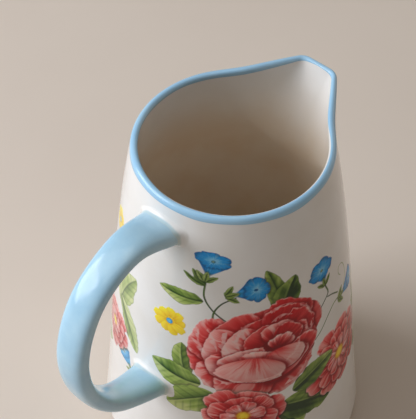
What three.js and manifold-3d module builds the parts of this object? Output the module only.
// Porcelain jug with a pulled spout, a blue lip and strap handle, and printed flower transfers.
// Millimetres, +Z up, spout towards +X, handle towards -X. The foot stands on z = 0, and the
// origin lies under the middle of the overall box.

import * as THREE from 'three';
import { mergeVertices } from 'three/addons/utils/BufferGeometryUtils.js';
import Module from 'manifold-3d';

const wasm = await Module();
wasm.setup();

// ---- driving dimensions -------------------------------------------------------------------

const HEIGHT = 200;               // foot to lip
const MOUTH_RADIUS = 45;          // outside of the lip, away from the spout
const TAPER = [0.203, -0.0393, 0.0047];  // body radius against depth, both in mouth radii
const LIP_WALL = 3.2;             // wall thickness at the lip
const FOOT_WALL = 4.6;            // wall thickness at the floor
const GAP = 0.3;                  // clearance kept between touching solids

const SPOUT_REACH = 63;           // body axis to the spout's blunt front
const SPOUT_CORNER = 6.3;         // plan radius of the front's two corners, at the lip
const SPOUT_FRONT = 12.2;         // distance between the middles of those corners
const SPOUT_HOLLOW = 0.8;         // each flank of the spout is hollowed by this much
const SPOUT_DEPTH = 54;           // the spout fades into the body this far below the lip
const SPOUT_LIFT = 1.2;           // the tip stands this much above the lip

const BAND_DEPTH = 3.4;           // height of the blue lip band
const FLOOR_THICKNESS = 5;
const FLOOR_COVE = 5;             // radius of the inside corner
const BASE_CORNER = 6;            // radius of the outside corner above the foot
const FOOT_HEIGHT = 2.4;
const FOOT_RADIUS = 60;           // middle of the foot ring
const FOOT_WIDTH = 6;

const ROOT_SLIP = 3;              // thickness of the slip that sticks each handle root on
const ROOT_SHARE = 0.12;          // of the strap's length, longer than its part within a root
const HANDLE_WIDTH = 16;
const HANDLE_THICKNESS = 8.8;
const HANDLE_FLARE = 0.42;        // the strap widens at its roots by this share
const HANDLE_FLARE_LENGTH = 24;   // over about this length
const HANDLE_LINE = [             // strap centreline: distance from the body axis, depth below lip
  [40, 19], [49, 15], [70, 9], [93, 19.7], [106, 46.6], [103.5, 77.4], [87.3, 104.5], [60.8, 119],
  [51, 122],
];

const TRANSFER_THICKNESS = 0.4;   // enamel print and its flux, drawn thick enough to be a solid
const TRANSFER_GAP = 0.4;
const TRANSFER_CELL = 8.5;        // largest facet of a transfer, so that it follows the body

const WALL_SEGMENTS = 64;
const ROUND_SEGMENTS = 56;

// ---- materials ----------------------------------------------------------------------------

const glaze = (name, colour, roughness = 0.15) => {
  const material = new THREE.MeshStandardMaterial({ color: colour, roughness, metalness: 0 });
  material.name = name;
  return material;
};

const WHITE_GLAZE = 0xece9e4;
const BLUE_GLAZE = 0x8fbbd8;
const HANDLE_GLAZE = 0xa5cbdd;
const BARE_CLAY = 0xd9d0c2;
const RED_ENAMEL = 0xc94f4c;
const GREEN_ENAMEL = 0x6f8a3c;
const BLUE_ENAMEL = 0x2f7fb8;
const YELLOW_ENAMEL = 0xe9c41f;
const CLAY_ROUGHNESS = 0.8;
const ENAMEL_ROUGHNESS = 0.25;

// ---- solids: between three.js geometry and manifold ---------------------------------------

// Leaves only the points of a geometry and joins those that coincide.
function merged(geometry) {
  const samePoint = 1e-4;
  geometry.deleteAttribute('normal');
  geometry.deleteAttribute('uv');
  return mergeVertices(geometry, samePoint);
}

function toManifold(geometry) {
  const solid = merged(geometry);
  const mesh = new wasm.Mesh({
    numProp: 3,
    vertProperties: new Float32Array(solid.attributes.position.array),
    triVerts: new Uint32Array(solid.index.array),
  });
  mesh.merge();
  return new wasm.Manifold(mesh);
}

function toGeometry(manifold) {
  const mesh = manifold.getMesh();
  const geometry = new THREE.BufferGeometry();
  geometry.setAttribute('position', new THREE.BufferAttribute(mesh.vertProperties, mesh.numProp));
  geometry.setIndex(new THREE.BufferAttribute(mesh.triVerts, 1));
  return geometry;
}

// Turns a closed section of [radius, z] points about the Z axis: outside going up, inside down.
function turned(section, segments = ROUND_SEGMENTS) {
  const points = section.map(([radius, z]) => new THREE.Vector2(radius, z));
  return merged(new THREE.LatheGeometry(points, segments).rotateX(Math.PI / 2));
}

// Points on an arc, for the rounded corners of a turned section.
function arc(centreRadius, centreZ, radius, fromDegrees, toDegrees, steps) {
  return Array.from({ length: steps + 1 }, (_, i) => {
    const angle = THREE.MathUtils.degToRad(fromDegrees + (toDegrees - fromDegrees) * i / steps);
    return [centreRadius + radius * Math.cos(angle), centreZ + radius * Math.sin(angle)];
  });
}

// ---- body shape ---------------------------------------------------------------------------

function bodyRadius(z) {
  const depth = (HEIGHT - z) / MOUTH_RADIUS;
  return MOUTH_RADIUS * (1 + depth * (TAPER[0] + depth * (TAPER[1] + depth * TAPER[2])));
}

function wallThickness(z) {
  return THREE.MathUtils.lerp(LIP_WALL, FOOT_WALL, (HEIGHT - z) / HEIGHT);
}

function levels(from, to, steps) {
  return Array.from({ length: steps + 1 }, (_, i) => from + (to - from) * i / steps);
}

// Plan radius at an angle from +X of a tight loop round the body's circle and two small circles,
// the corners of the spout's front, whose middles are at (corner.x, +-corner.y).
function loopRadius(angle, body, corner, cornerRadius, hollow) {
  const turn = Math.acos(Math.cos(angle));
  const slack = Math.acos(Math.min(1, (body - cornerRadius) / corner.length()));
  const flankTop = corner.angle() + slack;
  if (turn >= flankTop) return body;
  const flankEnd = Math.atan2(
    corner.y + cornerRadius * Math.sin(flankTop), corner.x + cornerRadius * Math.cos(flankTop),
  );
  if (turn >= flankEnd) {
    const along = (turn - flankEnd) / (flankTop - flankEnd);
    return body / Math.cos(flankTop - turn) - hollow * Math.sin(Math.PI * along) ** 2;
  }
  if (turn < Math.atan2(corner.y, corner.x + cornerRadius)) {
    return (corner.x + cornerRadius) / Math.cos(turn);
  }
  const ray = new THREE.Vector2(Math.cos(turn), Math.sin(turn));
  return corner.dot(ray) + Math.sqrt(cornerRadius ** 2 - corner.cross(ray) ** 2);
}

// A point of the body at an angle from the spout and a height, `outside` its outer surface or,
// when negative, inside it. The wall is pulled out into the spout near +X.
function bodyPoint(angle, z, outside) {
  const softCorner = 0.8;         // corner radius over body radius, where the spout fades out
  const fadePower = 1.6;          // the spout grows faster towards the lip
  const liftPower = 6;            // keeps the lift near the tip
  const body = bodyRadius(z);
  const fade = Math.max(0, 1 - (HEIGHT - z) / SPOUT_DEPTH) ** fadePower;
  const cornerRadius = THREE.MathUtils.lerp(softCorner * body, SPOUT_CORNER, fade);
  const reach = body + (SPOUT_REACH - MOUTH_RADIUS) * fade;
  const corner = new THREE.Vector2(reach - cornerRadius, SPOUT_FRONT / 2 * fade);
  const hollow = SPOUT_HOLLOW * fade;
  const radius = loopRadius(angle, body + outside, corner, cornerRadius + outside, hollow);
  const lift = SPOUT_LIFT * fade * ((1 + Math.cos(angle)) / 2) ** liftPower;
  return [radius * Math.cos(angle), radius * Math.sin(angle), z + lift];
}

// Gives a turned wall its spout, keeping each point's distance from the outer surface.
function pullSpout(geometry) {
  const crowding = 0.35;          // gathers the wall's columns towards the spout
  const position = geometry.attributes.position;
  const point = new THREE.Vector3();
  for (let i = 0; i < position.count; i++) {
    point.fromBufferAttribute(position, i);
    const turn = Math.atan2(point.y, point.x);
    const outside = Math.hypot(point.x, point.y) - bodyRadius(point.z);
    position.setXYZ(i, ...bodyPoint(turn - crowding * Math.sin(turn), point.z, outside));
  }
  return geometry;
}

// ---- body pieces --------------------------------------------------------------------------

// Heights of the wall's rows of facets from the lip band down, closer together beside the spout.
function wallLevels(bottom, spoutRows, bodyRows) {
  const top = HEIGHT - BAND_DEPTH - GAP;
  const spoutFoot = HEIGHT - SPOUT_DEPTH;
  return [...levels(top, spoutFoot, spoutRows), ...levels(spoutFoot, bottom, bodyRows).slice(1)];
}

function bodyWall() {
  const bottom = FOOT_HEIGHT + GAP;
  const cornerTop = bottom + BASE_CORNER;
  const outside = wallLevels(cornerTop, 8, 5).reverse().map((z) => [bodyRadius(z), z]);
  const corner = arc(bodyRadius(cornerTop) - BASE_CORNER, cornerTop, BASE_CORNER, -80, -20, 3);
  const inside = wallLevels(bottom, 5, 4).map((z) => [bodyRadius(z) - wallThickness(z), z]);
  const section = [...corner, ...outside, ...inside];
  return pullSpout(turned([...section, section[0]], WALL_SEGMENTS));
}

function baseFloor() {
  const bottom = FOOT_HEIGHT + GAP;
  const top = bottom + FLOOR_THICKNESS;
  const clearance = 3 * GAP;      // wider than elsewhere, as the wall leans and has flat facets
  const edge = bodyRadius(top) - FOOT_WALL - clearance;
  const coveTop = top + FLOOR_COVE;
  const cove = arc(edge - FLOOR_COVE, coveTop, FLOOR_COVE, -10, -90, 4);
  return turned([[0, bottom], [edge, bottom], ...cove, [0, top]]);
}

function footRing() {
  const inner = FOOT_RADIUS - FOOT_WIDTH / 2;
  const outer = FOOT_RADIUS + FOOT_WIDTH / 2;
  const bevel = 0.8;
  const section = [
    [inner + bevel, 0], [outer - bevel, 0], [outer, bevel], [outer, FOOT_HEIGHT],
    [inner, FOOT_HEIGHT], [inner, bevel],
  ];
  return turned([...section, section[0]]);
}

function rimBand() {
  const bottom = HEIGHT - BAND_DEPTH;
  const round = LIP_WALL / 2;
  const middle = bodyRadius(HEIGHT - round) - round;
  const crown = arc(middle, HEIGHT - round, round, 0, 180, 6);
  const innerEdge = bodyRadius(bottom) - wallThickness(bottom);
  const section = [[bodyRadius(bottom), bottom], ...crown, [innerEdge, bottom]];
  return pullSpout(turned([...section, section[0]], WALL_SEGMENTS));
}

// The body's outer surface as a solid, grown by a clearance, that cuts the handle to fit it.
function bodySolid(growth) {
  const side = levels(0, HEIGHT, 12).map((z) => [bodyRadius(z) + growth, z]);
  return toManifold(turned([[0, 0], ...side, [0, HEIGHT]], 2 * ROUND_SEGMENTS));
}

// ---- handle -------------------------------------------------------------------------------

const handleLine = new THREE.CatmullRomCurve3(
  HANDLE_LINE.map(([reach, depth]) => new THREE.Vector3(-reach, 0, HEIGHT - depth)),
  false, 'centripetal',
);

// A rounded strap swept along the handle's centreline between two fractions of its length.
function strap(from, to, steps) {
  const around = 16;
  const squareness = 2 / 2.7;     // of the section: 1 is an ellipse, 0 a rectangle
  const soften = (value) => Math.sign(value) * Math.abs(value) ** squareness;
  const length = handleLine.getLength();
  const positions = [];
  const side = new THREE.Vector3(0, 1, 0);
  for (const u of levels(from, to, steps)) {
    const centre = handleLine.getPointAt(u);
    const outward = new THREE.Vector3().crossVectors(handleLine.getTangentAt(u), side);
    const toRoot = Math.min(u, 1 - u) * length;
    const flare = 1 + HANDLE_FLARE * Math.exp(-((toRoot / HANDLE_FLARE_LENGTH) ** 2));
    for (let i = 0; i < around; i++) {
      const angle = 2 * Math.PI * i / around;
      const point = centre.clone();
      point.addScaledVector(side, soften(Math.cos(angle)) * HANDLE_WIDTH / 2 * flare);
      const half = HANDLE_THICKNESS / 2 * (1 + (flare - 1) / 2);
      point.addScaledVector(outward, soften(Math.sin(angle)) * half);
      positions.push(...point.toArray());
    }
  }
  const ends = [handleLine.getPointAt(from), handleLine.getPointAt(to)];
  const first = positions.length / 3;
  positions.push(...ends[0].toArray(), ...ends[1].toArray());
  const index = [];
  for (let i = 0; i < around; i++) {
    const next = (i + 1) % around;
    for (let ring = 0; ring < steps; ring++) {
      const a = ring * around + i;
      const b = ring * around + next;
      index.push(a, b, a + around, b, b + around, a + around);
    }
    index.push(first, next, i);
    index.push(first + 1, steps * around + i, steps * around + next);
  }
  const geometry = new THREE.BufferGeometry();
  geometry.setAttribute('position', new THREE.Float32BufferAttribute(positions, 3));
  geometry.setIndex(index);
  return toManifold(geometry);
}

function handle() {
  return toGeometry(strap(0, 1, 40).subtract(bodySolid(ROOT_SLIP + GAP)));
}

function handleJoint(from, to) {
  const slip = strap(from, to, 6).intersect(bodySolid(ROOT_SLIP));
  return toGeometry(slip.subtract(bodySolid(GAP)));
}

// ---- flower transfers ---------------------------------------------------------------------

// Outline of a motif about its own middle, as a point for each turn: a ring of petals or a leaf.
const blossom = (width, height, petals) => (turn) => {
  const scallop = 1 + 0.05 * Math.cos(petals * turn);
  return [width / 2 * scallop * Math.cos(turn), height / 2 * scallop * Math.sin(turn)];
};

const leaf = (length, width) => (turn) => {
  const sine = Math.sin(turn);
  return [length / 2 * Math.cos(turn), width / 2 * sine * Math.sqrt(Math.abs(sine))];
};

// Motifs in the order they are laid: each one is trimmed back from those before it.
// azimuth: degrees about the body from the spout; drop: below the lip; tilt: degrees.
const MOTIFS = [
  { name: 'peony', azimuth: -127, drop: 83, outline: blossom(64, 62, 7), colour: RED_ENAMEL },
  { name: 'lower_blossom', azimuth: -135, drop: 129, outline: blossom(42, 34, 6), colour: RED_ENAMEL },
  { name: 'side_blossom', azimuth: -77, drop: 119, outline: blossom(38, 44, 6), colour: RED_ENAMEL },
  { name: 'end_blossom', azimuth: -34, drop: 112, outline: blossom(32, 34, 6), colour: RED_ENAMEL },
  { name: 'daisy', azimuth: -171, drop: 69, outline: blossom(17, 17, 8), colour: YELLOW_ENAMEL },
  { name: 'end_daisy', azimuth: -39, drop: 42, outline: blossom(14, 14, 8), colour: YELLOW_ENAMEL },
  { name: 'glory_left', azimuth: -150.5, drop: 22, outline: blossom(18, 13, 5), colour: BLUE_ENAMEL },
  { name: 'glory_middle', azimuth: -131, drop: 40, outline: blossom(15, 15, 5), colour: BLUE_ENAMEL },
  { name: 'glory_right', azimuth: -89, drop: 48, outline: blossom(13, 16, 5), colour: BLUE_ENAMEL },
  { name: 'glory_side', azimuth: -58, drop: 76, outline: blossom(14, 15, 5), colour: BLUE_ENAMEL },
  { name: 'glory_end', azimuth: -18, drop: 122, outline: blossom(13, 13, 5), colour: BLUE_ENAMEL },
  { name: 'leaf_high', azimuth: -166, drop: 48, outline: leaf(21, 10), tilt: -8, colour: GREEN_ENAMEL },
  { name: 'leaf_top', azimuth: -110, drop: 46, outline: leaf(27, 17), tilt: 62, colour: GREEN_ENAMEL },
  { name: 'leaf_left', azimuth: -170, drop: 102, outline: leaf(26, 15), tilt: -25, colour: GREEN_ENAMEL },
  { name: 'leaf_low', azimuth: -161, drop: 124, outline: leaf(24, 15), tilt: 20, colour: GREEN_ENAMEL },
  { name: 'leaf_right', azimuth: -98, drop: 111, outline: leaf(24, 14), tilt: 25, colour: GREEN_ENAMEL },
  { name: 'leaf_foot', azimuth: -104, drop: 136, outline: leaf(32, 17), tilt: -20, colour: GREEN_ENAMEL },
  { name: 'leaf_side', azimuth: -52, drop: 100, outline: leaf(24, 12), tilt: 70, colour: GREEN_ENAMEL },
  { name: 'leaf_end', azimuth: -15, drop: 92, outline: leaf(30, 13), tilt: -65, colour: GREEN_ENAMEL },
  { name: 'leaf_fringe', azimuth: -50, drop: 136, outline: leaf(24, 12), tilt: 15, colour: GREEN_ENAMEL },
];

// A thin solid over one motif, bent round the body: `grow` widens it and `from`, `to` are its
// distances outside the body's surface.
function patch({ azimuth, drop, outline, tilt = 0 }, side, from, to, grow) {
  const sectors = 20;
  const turns = levels(0, 2 * Math.PI, sectors).slice(0, sectors);
  const edge = turns.map((turn) => {
    const point = new THREE.Vector2(...outline(turn));
    point.setLength(point.length() + grow);
    return point.rotateAround(new THREE.Vector2(), THREE.MathUtils.degToRad(tilt));
  });
  const rings = Math.ceil(Math.max(...edge.map((point) => point.length())) / TRANSFER_CELL);
  const middle = THREE.MathUtils.degToRad(azimuth) + side;
  const onBody = (across, up, outside) => {
    const z = HEIGHT - drop + up;
    return bodyPoint(middle + across / bodyRadius(z), z, outside);
  };
  const positions = [];
  for (const outside of [from, to]) {
    positions.push(...onBody(0, 0, outside));
    for (let ring = 1; ring <= rings; ring++) {
      for (const point of edge) {
        positions.push(...onBody(point.x * ring / rings, point.y * ring / rings, outside));
      }
    }
  }
  const layer = 1 + rings * sectors;
  const index = [];
  for (let i = 0; i < sectors; i++) {
    const next = (i + 1) % sectors;
    index.push(0, 1 + next, 1 + i, layer, layer + 1 + i, layer + 1 + next);
    for (let ring = 0; ring < rings - 1; ring++) {
      const a = 1 + ring * sectors + i;
      const b = 1 + ring * sectors + next;
      index.push(a, b, a + sectors, b, b + sectors, a + sectors);
      index.push(layer + a, layer + a + sectors, layer + b);
      index.push(layer + b, layer + a + sectors, layer + b + sectors);
    }
    const low = layer - sectors + i;
    const lowNext = layer - sectors + next;
    index.push(low, lowNext, layer + low, lowNext, layer + lowNext, layer + low);
  }
  const geometry = new THREE.BufferGeometry();
  geometry.setAttribute('position', new THREE.Float32BufferAttribute(positions, 3));
  geometry.setIndex(index);
  return toManifold(geometry);
}

// One side's bouquet: each motif is cut back where an earlier one already lies.
function bouquet(sideName, side) {
  const clearance = 0.5;
  const laid = [];
  return MOTIFS.map((motif) => {
    let solid = patch(motif, side, TRANSFER_GAP, TRANSFER_GAP + TRANSFER_THICKNESS, 0);
    for (const earlier of laid) solid = solid.subtract(earlier);
    const pieces = solid.decompose().sort((a, b) => b.volume() - a.volume());
    laid.push(patch(motif, side, 0, 2 * TRANSFER_GAP + TRANSFER_THICKNESS, clearance));
    const enamel = glaze(motif.name, motif.colour, ENAMEL_ROUGHNESS);
    return [`${motif.name}_${sideName}`, toGeometry(pieces[0]), enamel];
  });
}

// ---- assembly -----------------------------------------------------------------------------

const jug = new THREE.Group();
const pieces = [
  ['body_wall', bodyWall(), glaze('white_glaze', WHITE_GLAZE)],
  ['base_floor', baseFloor(), glaze('white_glaze', WHITE_GLAZE)],
  ['foot_ring', footRing(), glaze('bare_clay', BARE_CLAY, CLAY_ROUGHNESS)],
  ['rim_band', rimBand(), glaze('blue_glaze', BLUE_GLAZE)],
  ['handle', handle(), glaze('handle_glaze', HANDLE_GLAZE)],
  ['handle_upper_joint', handleJoint(0, ROOT_SHARE), glaze('handle_glaze', HANDLE_GLAZE)],
  ['handle_lower_joint', handleJoint(1 - ROOT_SHARE, 1), glaze('handle_glaze', HANDLE_GLAZE)],
  ...bouquet('front', 0),
  ...bouquet('back', Math.PI),
];
for (const [name, geometry, material] of pieces) {
  const mesh = new THREE.Mesh(geometry, material);
  mesh.name = name;
  jug.add(mesh);
}

// The handle reaches out further than the body, so the body's axis stands off the origin.
const overall = new THREE.Box3().setFromObject(jug);
jug.position.x = -(overall.min.x + overall.max.x) / 2;

export default jug;
